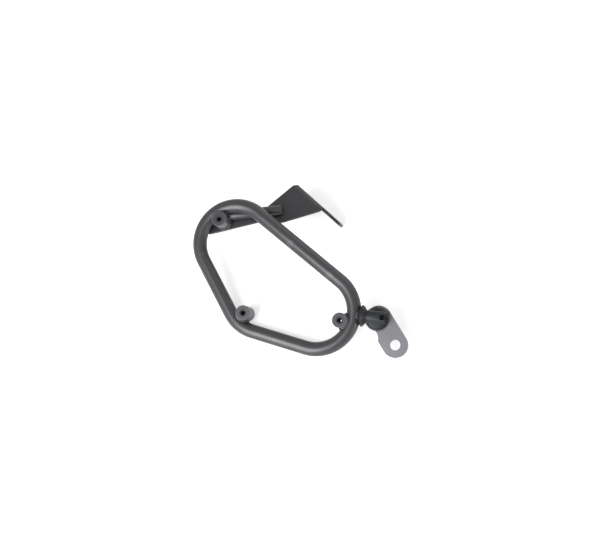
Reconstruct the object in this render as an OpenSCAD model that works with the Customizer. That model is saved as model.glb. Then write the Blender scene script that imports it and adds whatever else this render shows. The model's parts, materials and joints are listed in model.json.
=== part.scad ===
// Side carrier for a motorcycle pannier: a closed loop of bent tube with three threaded bosses,
// an upper bracket of folded sheet on a stay bar, and a lower lug on a turned spacer.
// X runs forward along the top tube, Y inward to the motorcycle and Z up.

/* [Loop tube] */
// Outer diameter of the tube
tube_d = 18; // [16:0.5:22]
// Wall of the tube
tube_wall = 2; // [1.5:0.25:3]
// Centreline radius of the three bends
bend_r = 47.5; // [44:0.5:56]
// Distance between the two upper bend centres
top_span = 139.5; // [130:0.5:160]
// Forward shift of the lower bend centre from the middle
low_shift = 3; // [-6:0.5:8]
// Drop of the lower bend centre below the upper ones
low_drop = 28.5; // [24:0.5:34]

/* [Threaded bosses] */
// Diameter of a boss
boss_d = 19; // [16:0.5:22]
// Length of a boss
boss_len = 22; // [18:0.5:26]
// How far the boss faces stand out from the plane of the loop
boss_proud = 13; // [11:0.5:15]
// Diameter of the threaded hole
thread_d = 5; // [4:0.1:8]
// Depth of the rear boss's threaded hole, which ends before the bracket
thread_depth = 18; // [14:0.5:19]
// Mouth of the countersink at the face
sink_d = 8.6; // [8.2:0.1:10]
// Edge chamfer of a boss
boss_chamfer = 0.6; // [0.3:0.1:1]
// Distance of an upper boss axis inside the tube's centreline
boss_in = 13.3; // [12:0.1:15]
// Distance of the lower boss axis inside the tube's centreline
low_boss_in = 15.4; // [14:0.1:17]
// Angle of the upper bosses above the line of the bend centres
boss_rise = 18; // [10:1:26]
// Angle of the lower boss behind straight down
low_boss_back = 4; // [-4:1:8]

/* [Weld beads] */
// Leg of a bead at a boss
boss_bead = 3; // [1.5:0.5:3.5]

/* [Upper bracket] */
// Thickness of the sheet
sheet_t = 4; // [3:0.5:5]
// Lean of the arm toward the motorcycle
arm_lean = 15; // [13:0.5:17]
// Forward fall of the fold
fold_fall = 3; // [0:0.5:6]
// Clearance from the tube's back to the arm at the rear boss
arm_back = 0.7; // [0.4:0.1:2]
// Height of the top flange over the rear boss
flange_rise = 100; // [94:1:106]
// Inner radius of the fold
fold_r = 4; // [3:0.5:6]
// Width of the arm at the fold
head_w = 47.5; // [42:0.5:54]
// Rear end of the fold, forward of the rear boss
head_x = 31.5; // [29:0.5:34]
// Reach of the flange toward the motorcycle
flange_reach = 40; // [34:1:50]
// Forward reach of the flange's tongue past the arm
tongue_len = 35; // [28:1:45]
// Distance from the fold at which the tongue reaches its full length
tongue_root = 12; // [8:1:16]
// Clipped corner at the flange's far rear
corner_clip = 8; // [4:0.5:12]
// Bolt holes in the flange
flange_hole_d = 8.5; // [6.5:0.5:10.5]
// Distance of the bolt holes from the fold
hole_line = 24; // [20:1:26]
// Rear hole from the rear end of the flange
rear_hole_in = 16.5; // [14:0.5:20]
// Front hole from the tip of the tongue
front_hole_in = 15; // [12:1:18]
// Drop of the arm's tail below the rear boss
tail_drop = 27; // [24:0.5:29]
// Front corner of the tail, forward of the rear boss
tail_x = -1.5; // [-4:0.5:0]
// Width of the tail at its end
tail_w = 11.5; // [9:0.5:13]
// Rise of the tail's end toward its rear corner
tail_slope = 5; // [2:0.5:6]

/* [Stay bar] */
// Diameter of the bar
stay_d = 12; // [10:0.5:14]
// Direction of the bar up the arm, from the fold's line
stay_angle = 52; // [48:1:56]
// Sideways offset of the bar from the rear boss axis
stay_offset = 3.5; // [1:0.5:6]
// Distance of the bar's upper end from the rear boss axis
stay_end = 75.5; // [70:0.5:82]

/* [Lug spacer] */
// Angle of the spacer above the line of the bend centres
spacer_rise = 33; // [28:1:38]
// Diameter of the collar against the tube
collar_d = 27; // [24:0.5:30]
// Depth from the tube's centreline at which the collar starts
collar_in = 5.4; // [4:0.2:7]
// Thickness of the collar outside the tube
collar_t = 6; // [4:0.5:8]
// Diameter of the neck
neck_d = 16; // [12:0.5:18]
// Length of the neck
neck_len = 7; // [5:0.5:12]
// Diameter of the head
head_d = 28.5; // [26:0.5:32]
// Length of the head
head_len = 18; // [14:0.5:22]
// Radius of the head's shoulder
shoulder_r = 6; // [3:0.5:6]
// Edge chamfer of the collar and the head
spacer_chamfer = 1; // [0.5:0.1:1.5]
// Depth of the flat that seats the lug, from the head's back
seat_depth = 2.3; // [1.5:0.1:4]
// Diameter of the hole in the head's end
socket_d = 11; // [8:0.5:13]
// Depth of the hole in the head's end
socket_depth = 13; // [8:0.5:13]

/* [Lug plate] */
// Thickness of the lug
lug_t = 5; // [4:0.5:6]
// Radius of the lug's round ends
lug_r = 15.8; // [14:0.1:18]
// Distance of the lug's upper end centre past the neck, along the spacer
lug_up = 7.2; // [5:0.1:9]
// Distance from the lug's upper end centre to its hole
lug_len = 38.7; // [34:0.1:46]
// Forward fall of the lug
lug_fall = 19; // [10:1:30]
// Diameter of the lug's bolt hole
lug_hole_d = 13; // [10:0.5:14]
// Distance of the waist from the lug's upper end centre
waist_at = 14; // [12:0.5:16]
// Depth of the waist in the lug's lower edge
waist_depth = 4; // [2:0.5:6]
// Radius of the waist
waist_r = 14; // [10:0.5:20]

/* [Hidden] */
$fn = 72;

// Flats that the fold's bend is drawn with
fold_steps = 15;
// Clearance of a coped or seated joint under its weld
seat = 0.05;
// Overrun of a cutting body past what it cuts
over = 1;
// How far the middle of a wall runs on into a bend or a fold, so that the wall is one piece
core = 1;
// Share of the wall on each side of that middle
core_side = 0.3;
tube_r = tube_d / 2;
boss_r = boss_d / 2;
// Bend centres in the plane of the loop: rear, front and low
rear_c = [-top_span / 2, 0];
front_c = [top_span / 2, 0];
low_c = [low_shift, -low_drop];
centres = [rear_c, front_c, low_c];
// Direction of each straight, going round with the outside on the left
function heading(a, b) = atan2(b[1] - a[1], b[0] - a[0]);
headings = [heading(rear_c, front_c), heading(front_c, low_c), heading(low_c, rear_c)];
function polar(centre, radius, angle) = centre + radius * [cos(angle), sin(angle)];
// Boss axes in the plane of the loop
rear_angle = 180 - boss_rise;
front_angle = boss_rise;
low_angle = -90 - low_boss_back;
boss_ring = bend_r - boss_in;
low_boss_ring = bend_r - low_boss_in;
rear_at = polar(rear_c, boss_ring, rear_angle);
// Depth of the arm's front face at the rear boss axis, behind the plane of the loop
arm_y = tube_r + arm_back;
// Length up the leaning arm from the rear boss to the start of the fold
fold_turn = 90 - arm_lean;
fold_outer = fold_r + sheet_t;
fold_at = (flange_rise - fold_outer + fold_outer * sin(arm_lean)) / cos(arm_lean);
// Bolt holes on the flange's middle line, one over the arm and one in the tongue
flange_holes = [
    [head_x + rear_hole_in, hole_line],
    [head_x + head_w + tongue_len - front_hole_in, hole_line]
];
// Points of the arm's front edge above the tail, and of its rear edge below the fold, round the rear boss
front_edge = [[31.5, 29.3], [55.8, 51.4]];
rear_edge = [[head_x - 4, 57], [head_x - 5.5, 46], [-14, -6]];
// Corner radii of the arm and of the flange, in the order of their outlines
arm_radii = [2, 20, 14, 0, 0, 0, 0, 0, 20, 20, 6, 3];
flange_radii = [0, 0, 0, 6, 8, 6, 0];
// Spacer stations along its axis, from the tube's centreline
collar_end = tube_r + collar_t;
neck_end = collar_end + neck_len;
head_end = neck_end + head_len;
head_r = head_d / 2;
lug_y = head_r - seat_depth;
lug_top = polar(front_c, bend_r + neck_end + lug_up, spacer_rise);
lug_hole = polar(lug_top, lug_len, -lug_fall);
// The part's origin is the middle of the lug's bolt hole
origin = [lug_hole[0], lug_y + lug_t / 2, lug_hole[1]];

steel_black = [0.16, 0.16, 0.18];
steel_face = [0.36, 0.36, 0.39];
steel_grey = [0.52, 0.52, 0.55];

// Places a drawing made in the plane of the loop, its z pointing outward
module in_frame() {
    translate(-origin)
        rotate([90, 0, 0])
            children();
}

// Places what is drawn on the arm: x along the fold, y inward and z up the leaning arm
module on_arm() {
    translate([rear_at[0], arm_y, rear_at[1]] - origin)
        rotate([0, fold_fall, 0])
            rotate([-arm_lean, 0, 0])
                children();
}

// Places what is drawn on the flange: x along the fold, y inward and z up from its lower face
module on_flange() {
    on_arm()
        translate([0, fold_outer, fold_at])
            rotate([arm_lean, 0, 0])
                translate([0, 0, fold_r])
                    children();
}

// Extrudes an outline drawn in x and z by a thickness along y
module upright_sheet(thickness) {
    translate([0, thickness, 0])
        rotate([90, 0, 0])
            linear_extrude(thickness)
                children();
}

// One corner of a rounded outline; a radius of 0 leaves it sharp
function corner(before, at, after, radius, steps = 6) =
    radius == 0 ? [at] :
    let (
        a = (before - at) / norm(before - at),
        b = (after - at) / norm(after - at),
        half = acos(a * b) / 2,
        middle = at + (a + b) / norm(a + b) * radius / sin(half),
        from = at + a * radius / tan(half) - middle,
        side = sign(from[0] * (after - at)[1] - from[1] * (after - at)[0]),
        turn = side * (180 - 2 * half)
    )
    [for (i = [0:steps])
        let (t = turn * i / steps)
        middle + [from[0] * cos(t) - from[1] * sin(t), from[0] * sin(t) + from[1] * cos(t)]];

// An outline with every corner rounded by its own radius
function rounded(points, radii) =
    let (n = len(points))
    [for (k = [0:n - 1])
        each corner(points[(k + n - 1) % n], points[k], points[(k + 1) % n], radii[k])];

module ring_section(radius, bore) {
    difference() {
        circle(radius);
        circle(bore);
    }
}

// One straight of the loop and the bend that follows it
module loop_leg(k) {
    from = centres[k];
    to = centres[(k + 1) % 3];
    next_turn = (headings[k] - headings[(k + 1) % 3] + 360) % 360;
    translate([from[0], from[1], 0])
        rotate([0, 0, headings[k]])
            translate([0, bend_r, 0])
                rotate([0, 90, 0]) {
                    linear_extrude(norm(to - from))
                        ring_section(tube_r, tube_r - tube_wall);
                    translate([0, 0, -core])
                        linear_extrude(norm(to - from) + 2 * core)
                            ring_section(tube_r - tube_wall * core_side, tube_r - tube_wall * (1 - core_side));
                }
    translate([to[0], to[1], 0])
        rotate([0, 0, headings[k] + 90 - next_turn])
            rotate_extrude(angle = next_turn)
                translate([bend_r, 0])
                    ring_section(tube_r, tube_r - tube_wall);
}

module loop_tube() {
    color(steel_black)
        in_frame()
            union() {
                for (k = [0:2]) loop_leg(k);
            }
}

// The space that the bent tube fills round one bend centre, for coping what meets it
module bend_space(centre) {
    translate([centre[0], centre[1], 0])
        rotate_extrude()
            translate([bend_r, 0])
                circle(tube_r + seat);
}

// Turned boss with its threaded hole and countersink, standing on z = boss_proud; the hole goes through
// unless it is shallower than the boss
module boss_blank(length, depth) {
    sink = (sink_d - thread_d) / 2;
    floor = depth < length ? [[0, length], [0, depth], [thread_d / 2, depth]] : [[thread_d / 2, length]];
    translate([0, 0, boss_proud])
        rotate([180, 0, 0])
            rotate_extrude()
                polygon(concat(
                    [[thread_d / 2, sink], [sink_d / 2, 0], [boss_r - boss_chamfer, 0],
                     [boss_r, boss_chamfer], [boss_r, length]],
                    floor
                ));
}

module boss(centre, ring, angle, length, depth) {
    at = polar(centre, ring, angle);
    difference() {
        translate([at[0], at[1], 0])
            boss_blank(length, depth);
        bend_space(centre);
    }
}

// The rear boss runs on to the leaning arm and is cut to its face
module rear_boss() {
    reach = boss_proud + arm_y + boss_r;
    color(steel_face)
        difference() {
            in_frame()
                boss(rear_c, boss_ring, rear_angle, reach, thread_depth);
            on_arm()
                translate([-boss_d, -seat, -boss_d])
                    cube([boss_d * 2, boss_d * 2, boss_d * 2]);
        }
}

module lower_boss() {
    color(steel_face)
        in_frame()
            boss(low_c, low_boss_ring, low_angle, boss_len, boss_len);
}

module front_boss() {
    color(steel_face)
        in_frame()
            boss(front_c, boss_ring, front_angle, boss_len, boss_len);
}

// Bead of weld metal that fills the corner between a boss and the inside of its bend
module boss_weld(centre, ring, angle) {
    at = polar(centre, ring, angle);
    difference() {
        intersection() {
            translate([at[0], at[1], -boss_len])
                cylinder(r = boss_r + boss_bead, h = boss_len * 2);
            translate([centre[0], centre[1], 0])
                rotate_extrude()
                    translate([bend_r, 0])
                        circle(tube_r + boss_bead);
        }
        translate([at[0], at[1], -boss_len - over])
            cylinder(r = boss_r + seat, h = (boss_len + over) * 2);
        bend_space(centre);
    }
}

module rear_boss_weld() {
    color(steel_black)
        difference() {
            in_frame() boss_weld(rear_c, boss_ring, rear_angle);
            on_arm()
                translate([-boss_d, -seat, -boss_d])
                    cube([boss_d * 2, boss_d * 2, boss_d * 2]);
        }
}

module lower_boss_weld() {
    color(steel_black)
        in_frame()
            boss_weld(low_c, low_boss_ring, low_angle);
}

module front_boss_weld() {
    color(steel_black)
        in_frame()
            boss_weld(front_c, boss_ring, front_angle);
}

// Round bar along the front of the arm, coped to the rear boss and the loop
module stay_bar() {
    start = boss_r;
    color(steel_black)
        difference() {
            on_arm()
                rotate([0, -stay_angle, 0])
                    translate([start, -stay_d / 2 - seat, stay_offset])
                        rotate([0, 90, 0])
                            cylinder(d = stay_d, h = stay_end - start);
            in_frame()
                translate([rear_at[0], rear_at[1], -boss_len * 2])
                    cylinder(r = boss_r + boss_bead + seat, h = boss_len * 4);
            in_frame()
                bend_space(rear_c);
            in_frame()
                translate([rear_c[0], bend_r, 0])
                    rotate([0, 90, 0])
                        cylinder(r = tube_r + seat, h = top_span);
        }
}

// Outline that the arm is cut to from its tail up, open above the fold where the flange goes its own way
function arm_outline(open_x, top) =
    let (
        head = [head_x + head_w, fold_at + over / 2],
        edge = head - front_edge[1],
        past = head + edge * over / edge[0]
    )
    rounded(
        [
            [tail_x, -tail_drop], each front_edge, past, [open_x, past[1]], [open_x, top],
            [head_x, top], [head_x, fold_at - over / 2], each rear_edge,
            [tail_x - tail_w, -tail_drop + tail_slope]
        ],
        arm_radii
    );

// Outline that the flange is cut to, with its forward tongue, open below the fold where the arm goes its own way
function flange_outline(open_x, bottom) =
    let (tip_x = head_x + head_w + tongue_len)
    rounded(
        [
            [open_x, bottom], [head_x + head_w, bottom], [head_x + head_w, over / 2], [tip_x, tongue_root],
            [tip_x, flange_reach], [head_x + corner_clip, flange_reach],
            [open_x, flange_reach - head_x - corner_clip + open_x]
        ],
        flange_radii
    );

// Cross-section of the folded sheet: y inward and z up the leaning arm, with the flange off its fold
function sheet_section() =
    let (
        below = tail_drop * 2,
        reach = flange_reach + over,
        middle = [fold_outer, fold_at],
        along = [cos(arm_lean), sin(arm_lean)],
        steps = [for (i = [0:fold_steps]) 180 - fold_turn * i / fold_steps],
        back = [for (i = [fold_steps:-1:0]) steps[i]]
    )
    concat(
        [[0, -below]],
        [for (a = steps) polar(middle, fold_outer, a)],
        [polar(middle, fold_outer, 90 + arm_lean) + along * reach],
        [polar(middle, fold_r, 90 + arm_lean) + along * reach],
        [for (a = back) polar(middle, fold_r, a)],
        [[sheet_t, -below]]
    );

// Folded sheet: the arm, the rolled fold and the top flange, in one piece
module upper_bracket() {
    start_x = tail_x - tail_w - tail_drop;
    end_x = head_x + head_w + tongue_len + over;
    length = fold_at + tail_drop * 2;
    color(steel_black)
        difference() {
            intersection() {
                on_arm()
                    translate([start_x, 0, 0])
                        rotate([90, 0, 90])
                            linear_extrude(end_x - start_x)
                                polygon(sheet_section());
                on_arm()
                    translate([0, -over, 0])
                        upright_sheet(flange_reach + fold_outer * 2)
                            polygon(arm_outline(end_x + over, fold_at + flange_reach));
                on_flange()
                    translate([0, 0, -length])
                        linear_extrude(length + sheet_t + over)
                            polygon(flange_outline(start_x - over, -length));
            }
            in_frame()
                bend_space(rear_c);
            for (at = flange_holes)
                on_flange()
                    translate([at[0], at[1], -over])
                        cylinder(d = flange_hole_d, h = sheet_t + over * 2);
        }
}

module lug_spacer() {
    at = polar(front_c, bend_r, spacer_rise);
    color(steel_black)
        difference() {
            in_frame()
                difference() {
                    translate([at[0], at[1], 0])
                        rotate([0, 0, spacer_rise])
                            rotate([0, 90, 0])
                                spacer_blank();
                    bend_space(front_c);
                }
            translate([-origin[0], lug_y - origin[1] - seat, -origin[2]])
                cube([top_span * 2, head_d, top_span]);
        }
}

// Turned spacer along z: collar, neck, round-shouldered head and end hole
module spacer_blank() {
    collar_r = collar_d / 2;
    rotate_extrude()
        polygon(concat(
            [[0, collar_in], [collar_r, collar_in], [collar_r, collar_end - spacer_chamfer],
             [collar_r - spacer_chamfer, collar_end], [neck_d / 2, collar_end], [neck_d / 2, neck_end]],
            [for (a = [0:15:90])
                [head_r - shoulder_r + shoulder_r * sin(a), neck_end + shoulder_r - shoulder_r * cos(a)]],
            [[head_r, head_end - spacer_chamfer], [head_r - spacer_chamfer, head_end], [socket_d / 2, head_end],
             [socket_d / 2, head_end - socket_depth], [0, head_end - socket_depth]]
        ));
}

module lug_plate() {
    color(steel_grey)
        in_frame()
            translate([lug_top[0], lug_top[1], -lug_y - lug_t])
                rotate([0, 0, -lug_fall])
                    difference() {
                        union() {
                            cylinder(r = lug_r, h = lug_t);
                            translate([lug_len, 0, 0])
                                cylinder(r = lug_r, h = lug_t);
                            translate([0, -lug_r, 0])
                                cube([lug_len, lug_r * 2, lug_t]);
                        }
                        translate([lug_len, 0, -over])
                            cylinder(d = lug_hole_d, h = lug_t + over * 2);
                        translate([waist_at, -lug_r + waist_depth - waist_r, -over])
                            cylinder(r = waist_r, h = lug_t + over * 2);
                    }
}

loop_tube();
rear_boss();
lower_boss();
front_boss();
rear_boss_weld();
lower_boss_weld();
front_boss_weld();
stay_bar();
upper_bracket();
lug_spacer();
lug_plate();
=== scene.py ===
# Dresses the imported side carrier: powder coat on every steel piece, rippled weld beads along its seams,
# and the spacer, the folded bracket and the stay bar in the forms that the real ones have.
import json
import math

import bmesh
import bpy
from mathutils import Matrix, Vector


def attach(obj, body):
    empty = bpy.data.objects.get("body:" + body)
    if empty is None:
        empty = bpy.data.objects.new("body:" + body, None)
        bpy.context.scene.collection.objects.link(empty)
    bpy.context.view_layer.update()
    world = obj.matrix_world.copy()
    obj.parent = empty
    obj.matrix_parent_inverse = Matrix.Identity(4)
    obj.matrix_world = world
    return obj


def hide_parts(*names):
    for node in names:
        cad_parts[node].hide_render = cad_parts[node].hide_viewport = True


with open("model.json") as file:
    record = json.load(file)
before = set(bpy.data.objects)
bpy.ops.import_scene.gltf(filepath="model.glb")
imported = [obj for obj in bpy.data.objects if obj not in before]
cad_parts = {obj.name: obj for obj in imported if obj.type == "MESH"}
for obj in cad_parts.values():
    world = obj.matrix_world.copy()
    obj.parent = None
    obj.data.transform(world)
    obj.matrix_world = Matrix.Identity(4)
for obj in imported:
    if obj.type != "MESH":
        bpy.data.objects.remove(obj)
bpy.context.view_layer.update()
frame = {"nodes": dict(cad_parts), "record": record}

MM = 0.001
scene = bpy.context.scene
slot_of = {part["node"]: part["material_slot"] for part in frame["record"]["subparts"]}

# The loop's own frame is in millimetres: x forward and z up in the plane of the tube, y inward, toward the
# motorcycle. The part's frame has its origin in the lug's bolt hole, which stands here in the loop's frame.
ORIGIN = Vector((170.668, 14.45, 29.174))
OUTWARD = (0, -1, 0)
TUBE_R = 9.0
BEND_R = 47.5
BENDS = {"rear": (-69.75, 0.0), "front": (69.75, 0.0), "lower": (3.0, -28.5)}
# Boss axes: distance from the bend's centre and direction in the plane of the loop
BOSSES = {"rear": (34.2, 162.0), "front": (34.2, 18.0), "lower": (32.1, -94.0)}
BOSS_R = 9.5
# Room left beside the tube by what is coped to it
SEAT = 0.05


def linear(code):
    """An sRGB hex colour as linear RGBA."""
    parts = [int(code[i:i + 2], 16) / 255 for i in (1, 3, 5)]
    return tuple(p / 12.92 if p <= 0.04045 else ((p + 0.055) / 1.055) ** 2.4 for p in parts) + (1.0,)


def add(tree, kind, inputs=None, **settings):
    """Adds one node; inputs maps a socket's name or number to a value, or to the output that feeds it."""
    new = tree.nodes.new(kind)
    for name, value in settings.items():
        setattr(new, name, value)
    for key, value in (inputs or {}).items():
        socket = new.inputs[key]
        if isinstance(value, bpy.types.NodeSocket):
            tree.links.new(value, socket)
        else:
            socket.default_value = value
    return new


def polar(centre, radius, degrees):
    a = math.radians(degrees)
    return centre[0] + radius * math.cos(a), centre[1] + radius * math.sin(a)


def circle(centre, radius, sides):
    return [polar(centre, radius, 360 * k / sides) for k in range(sides)]


def from_loop(point):
    """A point of the loop's frame, in metres in the part's frame."""
    return (Vector(point) - ORIGIN) * MM


def link(name, mesh):
    piece = bpy.data.objects.new(name, mesh)
    scene.collection.objects.link(piece)
    return piece


# ---- coats -------------------------------------------------------------------------------------

def from_axes(tree, place, centres):
    """Distance in millimetres from the nearest of some axes that stand square to the loop."""
    flat = add(tree, "ShaderNodeVectorMath", {0: place, 1: (1.0, 0.0, 1.0)}, operation="MULTIPLY").outputs[0]
    nearest = None
    for x, z in centres:
        at = from_loop((x, 0.0, z))
        away = add(tree, "ShaderNodeVectorMath", {
            0: flat, 1: (at.x, 0.0, at.z)}, operation="DISTANCE").outputs["Value"]
        nearest = away if nearest is None else add(
            tree, "ShaderNodeMath", {0: nearest, 1: away}, operation="MINIMUM").outputs[0]
    return add(tree, "ShaderNodeMath", {0: nearest, 1: 1 / MM}, operation="MULTIPLY").outputs[0]


def powder_coat(name, colour, roughness, ior, peel_mm, peel_deep_mm, dust, speckle, bores=(), dressed=()):
    """Polyester powder coat, sprayed and baked on steel: an even satin skin with faint orange peel."""
    mat = bpy.data.materials.new(name)
    mat.use_nodes = True
    tree = mat.node_tree
    tree.nodes.clear()
    place = add(tree, "ShaderNodeTexCoord").outputs["Object"]
    # The film's thickness drifts over a few centimetres and its melt has flowed over about a millimetre.
    # Handling rubs it in patches of a centimetre or two, and single grains of powder show below a millimetre.
    drift = add(tree, "ShaderNodeTexNoise", {"Vector": place, "Scale": 1 / (45.45 * MM), "Detail": 3.0})
    peel = add(tree, "ShaderNodeTexNoise", {"Vector": place, "Scale": 1 / (peel_mm * MM), "Detail": 2.0})
    rub = add(tree, "ShaderNodeTexNoise", {
        "Vector": place, "Scale": 1 / (14.286 * MM), "Detail": 6.0, "Roughness": 0.7})
    grain = add(tree, "ShaderNodeTexNoise", {"Vector": place, "Scale": 1 / (0.66667 * MM), "Detail": 2.0})
    red, green, blue, _ = linear(colour)
    thin, thick = 0.88, 1.14
    shade = add(tree, "ShaderNodeMixRGB", {
        "Fac": add(tree, "ShaderNodeMapRange", {
            "Value": drift.outputs["Fac"], "From Min": 0.35, "From Max": 0.65}).outputs["Result"],
        "Color1": (red * thin, green * thin, blue * thin, 1.0),
        "Color2": (red * thick, green * thick, blue * thick, 1.0)})
    dusty = add(tree, "ShaderNodeMixRGB", {
        "Fac": add(tree, "ShaderNodeMapRange", {
            "Value": rub.outputs["Fac"], "From Min": 0.62, "From Max": 0.8, "To Max": dust}).outputs["Result"],
        "Color1": shade.outputs["Color"], "Color2": linear("#8c8c90")})
    speck = add(tree, "ShaderNodeMixRGB", {
        "Fac": add(tree, "ShaderNodeMapRange", {
            "Value": grain.outputs["Fac"], "From Min": 0.3, "From Max": 0.7,
            "To Max": speckle}).outputs["Result"],
        "Color1": dusty.outputs["Color"], "Color2": linear("#0c0c0e")})
    gloss = add(tree, "ShaderNodeMapRange", {
        "Value": rub.outputs["Fac"], "From Min": 0.3, "From Max": 0.75,
        "To Min": roughness - 0.035, "To Max": roughness + 0.06})
    skin, sheen = speck.outputs["Color"], gloss.outputs["Result"]
    if dressed:
        # Dressed seam: the tube was ground there before it was coated, so the coat is a little paler
        ragged = add(tree, "ShaderNodeMath", {0: rub.outputs["Fac"], 1: 9.0}, operation="MULTIPLY")
        patch = add(tree, "ShaderNodeMath", {0: from_axes(tree, place, dressed), 1: ragged.outputs[0]})
        ground = add(tree, "ShaderNodeMapRange", {
            "Value": patch.outputs[0], "From Min": 10.5, "From Max": 6.0, "To Max": 0.2})
        skin = add(tree, "ShaderNodeMixRGB", {
            "Fac": ground.outputs["Result"], "Color1": skin, "Color2": linear("#77777c")}).outputs["Color"]
    if bores:
        away = from_axes(tree, place, bores)
        # A paler ring on the turned rim of the face: a painted highlight on its edge, where the coat is also rubbed
        # thin
        painted_rim_highlight = add(tree, "ShaderNodeMapRange", {"Value": away, "From Min": 8.2, "From Max": 9.2, "To Max": 0.35})
        skin = add(tree, "ShaderNodeMixRGB", {
            "Fac": painted_rim_highlight.outputs["Result"], "Color1": skin, "Color2": linear("#84848a")}).outputs["Color"]
        # The thread is cut through the coat to bare steel, made rough and painted near-black: painted shade for the
        # depth of the hole, so that it shows no light from inside
        painted_bore_shade = add(tree, "ShaderNodeMapRange", {"Value": away, "From Min": 2.9, "From Max": 2.7})
        skin = add(tree, "ShaderNodeMixRGB", {
            "Fac": painted_bore_shade.outputs["Result"], "Color1": skin, "Color2": linear("#0a0a0b")}).outputs["Color"]
        sheen = add(tree, "ShaderNodeMapRange", {
            "Value": painted_bore_shade.outputs["Result"], "To Min": sheen, "To Max": 0.95}).outputs["Result"]
    bump = add(tree, "ShaderNodeBump", {
        "Height": peel.outputs["Fac"], "Strength": 1.0, "Distance": peel_deep_mm * MM})
    fine = add(tree, "ShaderNodeBump", {
        "Height": grain.outputs["Fac"], "Strength": 1.0, "Distance": 0.004 * MM,
        "Normal": bump.outputs["Normal"]})
    shader = add(tree, "ShaderNodeBsdfPrincipled", {
        "Base Color": skin, "Roughness": sheen, "IOR": ior, "Normal": fine.outputs["Normal"]})
    add(tree, "ShaderNodeOutputMaterial", {"Surface": shader.outputs["BSDF"]})
    return mat


COATS = {
    # On bent tube the coat lies evenly: long soft highlights along the straights, with two seams ground flat
    "black_coat": powder_coat(
        "satin_black_powder_coat_on_tube", "#2a2a2e", roughness=0.36, ior=1.55, peel_mm=1.6,
        peel_deep_mm=0.012, dust=0.10, speckle=0.35, dressed=[(-9.8, 44.5), (55.5, 44.7)]),
    # On turned bosses: a grey bloom on the face, a pale rim that is a painted highlight, and the black mouth of the
    # thread, painted shade
    "boss_coat": powder_coat(
        "satin_black_powder_coat_on_turned_boss", "#2e2e32", roughness=0.38, ior=1.48, peel_mm=1.4,
        peel_deep_mm=0.010, dust=0.12, speckle=0.3, bores=[polar(BENDS[bend], *BOSSES[bend]) for bend in BENDS]),
    # On weld the powder melts thicker between the ripples, so their crests glint
    "weld_coat": powder_coat(
        "satin_black_powder_coat_on_weld", "#28282c", roughness=0.34, ior=1.6, peel_mm=1.2,
        peel_deep_mm=0.02, dust=0.10, speckle=0.3),
    # On flat sheet there is nothing to catch the light: one even dark plane, its base a little darker than the
    # tube's as painted shade
    "sheet_coat": powder_coat(
        "satin_black_powder_coat_on_sheet_darkened_as_painted_shade", "#26272a", roughness=0.40, ior=1.48, peel_mm=1.8,
        peel_deep_mm=0.012, dust=0.10, speckle=0.35),
    # On the spacer it is thin and nearly matt; its base colour, the darkest and coolest of the blacks, is painted
    # shade
    "spacer_coat": powder_coat(
        "satin_black_powder_coat_on_spacer_darkened_as_painted_shade", "#1a1d20", roughness=0.5, ior=1.36, peel_mm=1.4,
        peel_deep_mm=0.012, dust=0.10, speckle=0.3),
    # The lug's pale grey base colour is a painted reflection, standing in for the bright light its flat face catches
    "lug_coat": powder_coat(
        "grey_coat_on_lug_painted_reflection", "#66666c", roughness=0.42, ior=1.6, peel_mm=1.6,
        peel_deep_mm=0.010, dust=0.10, speckle=0.25),
}
for name, piece in frame["nodes"].items():
    for holder in piece.material_slots:
        holder.material = COATS[slot_of[name]]


# ---- weld beads --------------------------------------------------------------------------------

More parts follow.
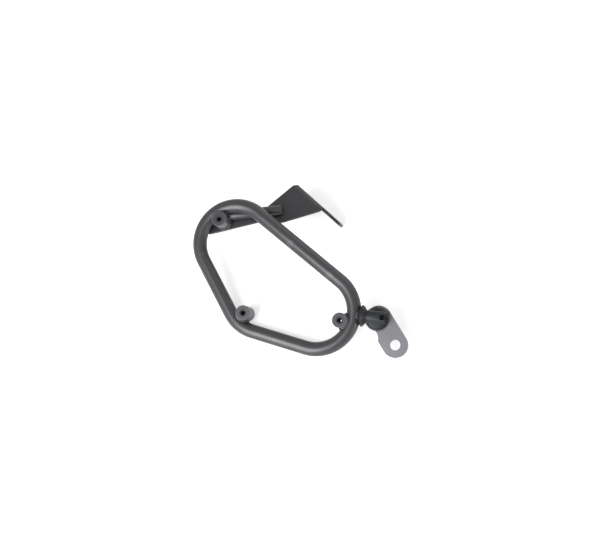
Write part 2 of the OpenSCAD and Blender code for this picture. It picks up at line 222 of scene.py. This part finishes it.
def bead_tree():
    """A weld bead: a seam's edges made a curve, swept with a round profile that swells once a ripple."""
    tree = bpy.data.node_groups.new("weld_bead", "GeometryNodeTree")
    face = tree.interface
    face.new_socket("Geometry", in_out="INPUT", socket_type="NodeSocketGeometry")
    for label, start in (("Radius", 0.002), ("Pitch", 0.0018), ("Depth", 0.3), ("Wander", 0.15), ("Seed", 1.0)):
        face.new_socket(label, in_out="INPUT", socket_type="NodeSocketFloat").default_value = start
    face.new_socket("Material", in_out="INPUT", socket_type="NodeSocketMaterial")
    face.new_socket("Geometry", in_out="OUTPUT", socket_type="NodeSocketGeometry")
    given = add(tree, "NodeGroupInput").outputs
    line = add(tree, "GeometryNodeMeshToCurve", {"Mesh": given["Geometry"]})
    # Six rings a ripple
    step = add(tree, "ShaderNodeMath", {0: given["Pitch"], 1: 0.167}, operation="MULTIPLY")
    path = add(tree, "GeometryNodeResampleCurve", {
        "Curve": line.outputs["Curve"], "Length": step.outputs[0]}, mode="LENGTH")
    along = add(tree, "GeometryNodeSplineParameter").outputs["Length"]
    # One ripple a pitch: the freshest edge stands full and falls away behind it
    turn = add(tree, "ShaderNodeMath", {0: along, 1: given["Pitch"]}, operation="DIVIDE")
    phase = add(tree, "ShaderNodeMath", {0: turn.outputs[0]}, operation="FRACT")
    fall = add(tree, "ShaderNodeMath", {0: phase.outputs[0], 1: 2.0}, operation="POWER")
    notch = add(tree, "ShaderNodeMath", {0: fall.outputs[0], 1: given["Depth"]}, operation="MULTIPLY")
    full = add(tree, "ShaderNodeMath", {0: 1.0, 1: notch.outputs[0]}, operation="SUBTRACT")
    # The hand that laid it wanders a little, over about 6 mm
    sway = add(tree, "ShaderNodeTexNoise", {
        "Vector": add(tree, "GeometryNodeInputPosition").outputs[0], "W": given["Seed"],
        "Scale": 160.0, "Detail": 1.0}, noise_dimensions="4D")
    swing = add(tree, "ShaderNodeMath", {0: sway.outputs[0], 1: 0.5}, operation="SUBTRACT")
    wide = add(tree, "ShaderNodeMath", {0: swing.outputs[0], 1: given["Wander"]}, operation="MULTIPLY")
    swell = add(tree, "ShaderNodeMath", {0: full.outputs[0], 1: wide.outputs[0]}, operation="ADD")
    ring = add(tree, "GeometryNodeCurvePrimitiveCircle", {"Resolution": 12, "Radius": given["Radius"]})
    body = add(tree, "GeometryNodeCurveToMesh", {
        "Curve": path.outputs["Curve"], "Profile Curve": ring.outputs["Curve"],
        "Scale": swell.outputs[0], "Fill Caps": True})
    smooth = add(tree, "GeometryNodeSetShadeSmooth", {"Geometry": body.outputs["Mesh"]})
    solid = add(tree, "GeometryNodeRealizeInstances", {"Geometry": smooth.outputs[0]})
    coat = add(tree, "GeometryNodeSetMaterial", {"Geometry": solid.outputs[0], "Material": given["Material"]})
    add(tree, "NodeGroupOutput", {"Geometry": coat.outputs[0]})
    return tree


BEAD = bead_tree()
BEAD_INPUTS = {item.name: item.identifier for item in BEAD.interface.items_tree if item.in_out == "INPUT"}


def bead(name, points, radius_mm, seed, pitch_mm=1.9, closed=True, stands_for=()):
    """A weld bead laid along points of the part's frame, as a plain piece of its own."""
    mesh = bpy.data.meshes.new(name + "_seam")
    count = len(points)
    mesh.from_pydata(points, [(k, (k + 1) % count) for k in range(count if closed else count - 1)], [])
    source = link(name + "_path", mesh)
    lay = source.modifiers.new("lay", "NODES")
    lay.node_group = BEAD
    for label, value in {"Radius": radius_mm * MM, "Pitch": pitch_mm * MM, "Depth": 0.34, "Seed": seed,
                         "Material": COATS["weld_coat"]}.items():
        lay[BEAD_INPUTS[label]] = value
    bpy.context.view_layer.update()
    made = bpy.data.meshes.new_from_object(source.evaluated_get(bpy.context.evaluated_depsgraph_get()))
    made.name = name
    bpy.data.objects.remove(source)
    piece = link(name, made)
    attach(piece, "root")
    if stands_for:
        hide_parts(*stands_for)


def boss_seam(bend):
    """Where a boss meets its bent tube, first along the tube's outer side and then back along its inner side."""
    centre, (ring, degrees) = BENDS[bend], BOSSES[bend]
    at = polar(centre, ring, degrees)
    # The bead's middle stands a little off both pieces
    off = 0.7
    tube = TUBE_R + off
    side = []
    for turn in range(-180, 181, 2):
        x, z = polar(at, BOSS_R + off, degrees + turn)
        across = math.hypot(x - centre[0], z - centre[1]) - BEND_R
        if abs(across) < tube:
            side.append((x, z, math.sqrt(tube * tube - across * across)))
    return [from_loop((x, -out, z)) for x, z, out in side] + [from_loop((x, out, z)) for x, z, out in reversed(side)]


for number, bend in enumerate(BENDS, 1):
    bead(bend + "_boss_bead", boss_seam(bend), 1.7, seed=float(number), stands_for=(bend + "_boss_weld",))


# ---- turned and cut pieces ---------------------------------------------------------------------

def solid(name, work):
    """A closed solid from a bmesh, its doubled points merged and its faces turned outward."""
    bmesh.ops.remove_doubles(work, verts=work.verts, dist=1e-7)
    bmesh.ops.recalc_face_normals(work, faces=work.faces)
    mesh = bpy.data.meshes.new(name)
    work.to_mesh(mesh)
    work.free()
    return link(name, mesh)


def turned(name, profile, at, along, sides=72):
    """A closed turned solid: (station, radius) pairs spun about a line of the loop's frame."""
    axis = Vector(along).normalized()
    across = axis.orthogonal().normalized()
    third = axis.cross(across)
    work = bmesh.new()
    rings = []
    for station, radius in profile:
        middle = Vector(at) + axis * station
        spokes = [0.0] if radius == 0 else [2 * math.pi * k / sides for k in range(sides)]
        rings.append([work.verts.new(
            from_loop(middle + (across * math.cos(a) + third * math.sin(a)) * radius)) for a in spokes])
    for one, two in zip(rings, rings[1:]):
        for k in range(sides):
            corners = [one[k % len(one)], one[(k + 1) % len(one)], two[(k + 1) % len(two)], two[k % len(two)]]
            work.faces.new(dict.fromkeys(corners))
    return solid(name, work)


def block(name, outline, place, order, low, high):
    """A closed block: an outline stretched from low to high, its three numbers put in the order x, y, z."""
    work = bmesh.new()
    ends = [[work.verts.new(from_loop(place @ Vector([(u, v, w)[k] for k in order]))) for u, v in outline]
            for w in (low, high)]
    for ring in ends:
        work.faces.new(ring)
    for k in range(len(outline)):
        follow = (k + 1) % len(outline)
        work.faces.new((ends[0][k], ends[0][follow], ends[1][follow], ends[1][k]))
    return solid(name, work)


def finished(name, coat, base, steps, edge_mm=0.3):
    """The base after each (operation, tool) in turn, its edges broken, as a plain piece in its coat."""
    for operation, tool in steps:
        work = base.modifiers.new(operation.lower(), "BOOLEAN")
        work.operation, work.object, work.solver = operation, tool, "EXACT"
    broken = base.modifiers.new("broken_edges", "BEVEL")
    broken.width, broken.segments, broken.limit_method = edge_mm * MM, 2, "ANGLE"
    broken.angle_limit = math.radians(40)
    bpy.context.view_layer.update()
    made = bpy.data.meshes.new_from_object(base.evaluated_get(bpy.context.evaluated_depsgraph_get()))
    made.name = name
    for spent in [base] + [tool for _, tool in steps]:
        bpy.data.objects.remove(spent)
    made.polygons.foreach_set("use_smooth", [True] * len(made.polygons))
    made.set_sharp_from_angle(angle=math.radians(28))
    made.materials.clear()
    made.materials.append(COATS[coat])
    return link(name, made)


def rear_bend_space():
    """The room that the rear bend takes, for coping what passes it."""
    ring = circle((0.0, BEND_R), TUBE_R + SEAT, 32)
    return turned("bend", ring + ring[:1], (BENDS["rear"][0], 0.0, BENDS["rear"][1]), OUTWARD, 120)


# ---- spacer and lug boss -----------------------------------------------------------------------

# Stations in millimetres along the spacer's axis, from the centre of the front bend
SPACER_TURN = math.radians(33.0)
SPACER_AXIS = Vector((math.cos(SPACER_TURN), 0.0, math.sin(SPACER_TURN)))
SPACER_ROOT = Vector((BENDS["front"][0], 0.0, BENDS["front"][1]))
BAR_R = 8.0
BAR_END = 87.4
SOCKET_FROM = 74.4
SOCKET_R = 5.5
SCREW_HOLE_AT = 83.8
SCREW_HOLE_R = 3.4
# Radius at which the collar's foot meets the bent tube
COLLAR_SEAM_R = 7.4
# The dome stands on the lug's outer face
DOME_AT = (133.1, 11.95, 40.0)
DOME_R = 14.3
DOME_TALL = 8.45
SHOULDER = 5.5


def spacer():
    """Turned collar and bar welded to the bend, and the domed boss that carries it on the lug."""
    foot = [(46.0, 0), (46.0, 6.0), (52.5, 7.6)]
    collar = [(57.2, 13.0), (57.6, 13.4), (58.6, 13.3), (59.8, 12.4), (61.0, 11.1), (62.2, 9.6), (63.0, 8.3)]
    groove = [(63.4, BAR_R - 0.5), (64.2, BAR_R - 0.5), (64.6, BAR_R)]
    bar = [(BAR_END - 0.8, BAR_R), (BAR_END, BAR_R - 0.8), (BAR_END, 0)]
    base = turned("bar", foot + collar + groove + bar, SPACER_ROOT, SPACER_AXIS)
    shoulder = [polar((DOME_TALL - SHOULDER, DOME_R - SHOULDER), SHOULDER, 90 * (1 - k / 8)) for k in range(9)]
    dome = turned("dome", [(0.0, 0), (0.0, DOME_R)] + shoulder + [(DOME_TALL, 0)], DOME_AT, OUTWARD)
    socket = turned("socket", [
        (SOCKET_FROM, 0), (SOCKET_FROM, SOCKET_R), (BAR_END - 1.0, SOCKET_R), (BAR_END + 0.5, SOCKET_R + 1.4),
        (BAR_END + 0.5, 0)], SPACER_ROOT, SPACER_AXIS, 48)
    screw_hole = turned("screw_hole", [(0.0, 0), (0.0, SCREW_HOLE_R), (12.0, SCREW_HOLE_R), (12.0, 0)],
                        SPACER_ROOT + SPACER_AXIS * SCREW_HOLE_AT, OUTWARD, 40)
    piece = finished("lug_spacer_turned", "spacer_coat", base,
                     [("UNION", dome), ("DIFFERENCE", socket), ("DIFFERENCE", screw_hole)])
    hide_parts("lug_spacer")
    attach(piece, "root")


def around(at, along, station, radius, start=0.0, stop=360.0, steps=90):
    """Points round an axis of the loop's frame; the station may be a function of the angle."""
    axis = Vector(along).normalized()
    across = Vector((0.0, 1.0, 0.0)).cross(axis).normalized() if abs(axis.y) < 0.9 else Vector((1.0, 0.0, 0.0))
    third = axis.cross(across)
    made = []
    for k in range(steps + (stop - start < 360.0)):
        a = math.radians(start + (stop - start) * k / steps)
        far = station(a) if callable(station) else station
        made.append(from_loop(Vector(at) + axis * far + (across * math.cos(a) + third * math.sin(a)) * radius))
    return made


def collar_seam(a):
    """How far out along the spacer's axis its collar meets the bent tube, at an angle round that axis."""
    deep, wide = COLLAR_SEAM_R * math.sin(a), COLLAR_SEAM_R * math.cos(a)
    outer = BEND_R + math.sqrt(TUBE_R ** 2 - deep * deep)
    return math.sqrt(outer * outer - wide * wide)


spacer()
bead("collar_bead", around(SPACER_ROOT, SPACER_AXIS, collar_seam, COLLAR_SEAM_R), 1.8, pitch_mm=2.2, seed=7.0)
bead("dome_bead", around(DOME_AT, OUTWARD, 0.6, DOME_R - 0.1), 1.3, pitch_mm=2.0, seed=8.0)
# Below the rear boss, where its inner end stands on the bracket's tail
rear_x, rear_z = polar(BENDS["rear"], *BOSSES["rear"])
bead("tail_bead", around((rear_x, 0.0, rear_z), OUTWARD, -7.6, BOSS_R + 0.7, -150.0, 20.0, 60), 1.7,
     closed=False, seed=9.0)


# ---- folded bracket ----------------------------------------------------------------------------

# Sizes in millimetres, drawn on the leaning arm: x along the fold, y inward and z up the arm
SHEET_T = 4.3
FOLD_R = 4.0
FOLD_OUTER = FOLD_R + SHEET_T
FOLD_AT = 96.9
LEAN = 15.0
HEAD_X, HEAD_END = 28.8, 79.0
TAIL_X, TAIL_W, TAIL_DROP, TAIL_SLOPE = -3.0, 10.5, 25.6, 5.0
TIP_X, REACH = 105.3, 40.0
HOLES, HOLE_LINE, HOLE_R = (48.0, 99.0), 24.0, 4.25
# The arm turns on the rear boss, 0.7 mm behind the tube, and its fold falls 3 degrees forward
ARM_PLACE = Matrix.Translation((-102.276, 9.7, 10.568)) @ Matrix.Rotation(math.radians(3.0), 4, "Y") @ \
    Matrix.Rotation(math.radians(-LEAN), 4, "X")
FLANGE_PLACE = ARM_PLACE @ Matrix.Translation((0.0, FOLD_OUTER, FOLD_AT)) @ \
    Matrix.Rotation(math.radians(LEAN), 4, "X") @ Matrix.Translation((0.0, 0.0, FOLD_R))


def eased(corners, steps=6):
    """An outline of (u, v, radius) corners, each turned on its own radius."""
    points = [Vector(corner[:2]) for corner in corners]
    made = []
    for k, at in enumerate(points):
        radius = corners[k][2]
        before = (points[k - 1] - at).normalized()
        after = (points[(k + 1) % len(points)] - at).normalized()
        half = before.angle(after) / 2
        if radius == 0:
            made.append(at)
            continue
        middle = at + (before + after).normalized() * (radius / math.sin(half))
        one = at + before * (radius / math.tan(half)) - middle
        two = at + after * (radius / math.tan(half)) - middle
        made += [middle + one.slerp(two, n / steps).normalized() * radius for n in range(steps + 1)]
    return made


def sheet_section():
    """The sheet from its edge: y inward and z up the arm, round the fold and out along the flange."""
    below = -60.0
    turn = [180.0 - (90.0 - LEAN) * k / 18 for k in range(19)]
    run = Vector(polar((0.0, 0.0), REACH + 1.0, LEAN))
    outer = [Vector(polar((FOLD_OUTER, FOLD_AT), FOLD_OUTER, a)) for a in turn]
    inner = [Vector(polar((FOLD_OUTER, FOLD_AT), FOLD_R, a)) for a in turn]
    return [(0.0, below)] + outer + [outer[-1] + run, inner[-1] + run] + inner[::-1] + [(SHEET_T, below)]


def bracket():
    """Sheet folded once: a leaning arm with a tail to the rear boss, a rolled fold, a flange with a tongue."""
    sheet = block("sheet", sheet_section(), ARM_PLACE, (2, 0, 1), -40.0, 115.0)
    # Past the fold the arm's outline opens wide, and below it the flange's does, so that each cuts its own part
    front, above = 130.0, FOLD_AT + 60.0
    knee = (54.8, 51.9)
    past = FOLD_AT + 0.5 * (FOLD_AT - knee[1]) / (HEAD_END - knee[0])
    arm = eased([
        (TAIL_X, -TAIL_DROP, 2), (31.2, 29.5, 20), (*knee, 14), (HEAD_END + 0.5, past, 0), (front, past, 0),
        (front, above, 0), (HEAD_X + 2.6, above, 0), (HEAD_X + 2.6, FOLD_AT + 6.5, 3), (HEAD_X, FOLD_AT + 1.0, 3),
        (26.0, 57.0, 20), (24.6, 46.0, 20), (-14.0, -6.0, 6), (TAIL_X - TAIL_W, TAIL_SLOPE - TAIL_DROP, 3)])
    rear, outside = -60.0, -200.0
    clip = HEAD_X + 8.0
    flange = eased([
        (rear, outside, 0), (HEAD_END, outside, 0), (HEAD_END, 0.3, 0), (TIP_X, 12.0, 6), (TIP_X, REACH, 8),
        (clip, REACH, 6), (rear, REACH - clip + rear, 0)])
    steps = [("INTERSECT", block("arm_cut", arm, ARM_PLACE, (0, 2, 1), -1.0, 60.0)),
             ("INTERSECT", block("flange_cut", flange, FLANGE_PLACE, (0, 1, 2), -220.0, 30.0))]
    for x in HOLES:
        hole = circle((x, HOLE_LINE), HOLE_R, 40)
        steps.append(("DIFFERENCE", block("hole", hole, FLANGE_PLACE, (0, 1, 2), -3.0, 9.0)))
    steps.append(("DIFFERENCE", rear_bend_space()))
    piece = finished("folded_bracket", "sheet_coat", sheet, steps, edge_mm=0.45)
    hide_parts("upper_bracket")
    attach(piece, "root")


bracket()


# ---- stay bar ----------------------------------------------------------------------------------

# Up the arm from the rear boss: its slope from the fold's line, and how far its axis passes above the boss
STAY_SLOPE = math.radians(50.5)
STAY_OFF = 5.2
STAY_R = 6.3
STAY_FROM, STAY_END = 4.0, 76.2


def stay_bar():
    """Round bar along the front of the arm, coped to the tube that crosses it."""
    up_the_arm = Vector((math.cos(STAY_SLOPE), 0.0, math.sin(STAY_SLOPE)))
    foot = ARM_PLACE @ Vector((-STAY_OFF * up_the_arm.z, -STAY_R, STAY_OFF * up_the_arm.x))
    base = turned("stay", [
        (STAY_FROM, 0), (STAY_FROM, STAY_R), (STAY_END - 1.0, STAY_R), (STAY_END, STAY_R - 1.0), (STAY_END, 0)],
        foot, ARM_PLACE.to_3x3() @ up_the_arm)
    straight = turned("straight", [(0.0, 0), (0.0, TUBE_R + SEAT), (60.0, TUBE_R + SEAT), (60.0, 0)],
                      (BENDS["rear"][0] - 0.5, 0.0, BEND_R), (1, 0, 0))
    piece = finished("round_stay_bar", slot_of["stay_bar"], base,
                     [("DIFFERENCE", rear_bend_space()), ("DIFFERENCE", straight)])
    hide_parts("stay_bar")
    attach(piece, "root")


stay_bar()


# ---- light, table and camera -------------------------------------------------------------------

MIDDLE = Vector((-0.15, 0.0, -0.02))
# The room's light on the object, under a background that is white for the rays that look at it
ROOM_LIGHT = 0.4
# The table the carrier lies on, touched by the flange's tip and the foot of the loop
TABLE_DOWN = Vector((0.101, 0.932, -0.347)).normalized()
TABLE_AT = Vector((-154.1, 60.2, 71.3)) * MM
TABLE_HALF = 3.0
PAPER = 0.9
PAPER_GLOW = 0.5
# How far the lamps stand from the middle of the carrier, in metres
LAMPS_AWAY = 1.2


def background_rays(tree):
    """1 for the rays that look at the background: from the camera, off gloss and through glass."""
    rays = add(tree, "ShaderNodeLightPath").outputs
    first = add(tree, "ShaderNodeMath", {0: rays["Is Camera Ray"], 1: rays["Is Glossy Ray"]}, operation="MAXIMUM")
    return add(tree, "ShaderNodeMath", {
        0: first.outputs[0], 1: rays["Is Transmission Ray"]}, operation="MAXIMUM").outputs[0]


def studio():
    """A white room."""
    world = bpy.data.worlds.new("studio")
    world.use_nodes = True
    tree = world.node_tree
    tree.nodes.clear()
    level = add(tree, "ShaderNodeMapRange", {"Value": background_rays(tree), "To Min": ROOM_LIGHT, "To Max": 1.0})
    room = add(tree, "ShaderNodeBackground", {
        "Color": (1.0, 1.0, 1.0, 1.0), "Strength": level.outputs["Result"]})
    add(tree, "ShaderNodeOutputWorld", {"Surface": room.outputs[0]})
    scene.world = world


def white_paper():
    """Matt white paper: it glows a little for the rays that look at it, so only a deep shadow shows on it."""
    mat = bpy.data.materials.new("white_table")
    mat.use_nodes = True
    tree = mat.node_tree
    tree.nodes.clear()
    plain = add(tree, "ShaderNodeBsdfDiffuse", {"Color": (PAPER, PAPER, PAPER, 1.0)})
    strength = add(tree, "ShaderNodeMath", {0: background_rays(tree), 1: PAPER_GLOW}, operation="MULTIPLY")
    glow = add(tree, "ShaderNodeEmission", {"Color": (1.0, 1.0, 1.0, 1.0), "Strength": strength.outputs[0]})
    paper = add(tree, "ShaderNodeAddShader", {0: plain.outputs[0], 1: glow.outputs[0]})
    # Clear from behind, where other views look through it
    sided = add(tree, "ShaderNodeMixShader", {
        "Fac": add(tree, "ShaderNodeNewGeometry").outputs["Backfacing"], 1: paper.outputs[0],
        2: add(tree, "ShaderNodeBsdfTransparent").outputs[0]})
    add(tree, "ShaderNodeOutputMaterial", {"Surface": sided.outputs[0]})
    return mat


def table():
    """The table under the carrier as it lies, its white side toward the carrier."""
    across = TABLE_DOWN.cross(Vector((0, 0, 1))).normalized()
    up = across.cross(TABLE_DOWN).normalized()
    clear = 0.5 * MM
    at = MIDDLE + TABLE_DOWN * ((TABLE_AT - MIDDLE).dot(TABLE_DOWN) + clear)
    corners = [at + (across * a + up * b) * TABLE_HALF for a, b in ((-1, -1), (1, -1), (1, 1), (-1, 1))]
    mesh = bpy.data.meshes.new("table")
    mesh.from_pydata(corners, [], [(0, 1, 2, 3)])
    if mesh.polygons[0].normal.dot(TABLE_DOWN) > 0:
        mesh.flip_normals()
    mesh.materials.append(white_paper())
    board = link("table", mesh)


def softbox(name, toward, upright, width, height, watts):
    """A soft rectangular lamp that faces the carrier from the side it is named toward."""
    lamp = bpy.data.lights.new(name, "AREA")
    lamp.shape = "RECTANGLE"
    lamp.size, lamp.size_y, lamp.energy = width, height, watts
    holder = bpy.data.objects.new(name, lamp)
    toward = Vector(toward).normalized()
    across = Vector(upright).cross(toward).normalized()
    holder.matrix_world = Matrix((across, toward.cross(across), toward)).transposed().to_4x4()
    holder.location = MIDDLE + toward * LAMPS_AWAY
    scene.collection.objects.link(holder)


def eye():
    """The photograph's viewpoint, fitted to the outline of the loop and the middles of the holes."""
    image_width, focal_pixels, sensor = 600, 876.2, 36.0
    camera = bpy.data.cameras.new("camera")
    camera.sensor_fit = "HORIZONTAL"
    camera.sensor_width = sensor
    camera.lens = focal_pixels / image_width * sensor
    camera.clip_start, camera.clip_end = 0.05, 20.0
    right = Vector((0.74217, 0.23652, 0.62709))
    up = Vector((-0.62067, -0.11045, 0.77624))
    back = Vector((0.25285, -0.96533, 0.06482))
    turn = Matrix((right, up, back)).transposed().to_4x4()
    turn.translation = Vector((0.135531, -1.074176, 0.058422))
    holder = bpy.data.objects.new("camera", camera)
    holder.matrix_world = turn
    scene.collection.objects.link(holder)
    scene.camera = holder


studio()
table()
# From below in front, for the long highlights on the lower tubes
softbox("front_softbox", (0.03, -0.82, -0.57), (-0.39, 0.0, 0.92), 0.6, 1.1, 21.5)
# From above, for the fold and the upper edges
softbox("top_softbox", (-0.2, -0.24, 0.95), (0.0, -1.0, 0.0), 0.7, 0.4, 1.5)
# From the front end, for the rim of the front bend
softbox("side_softbox", (0.94, -0.05, 0.33), (0.0, -1.0, 0.0), 0.5, 0.5, 4.0)
eye()
scene.view_settings.view_transform = "Standard"
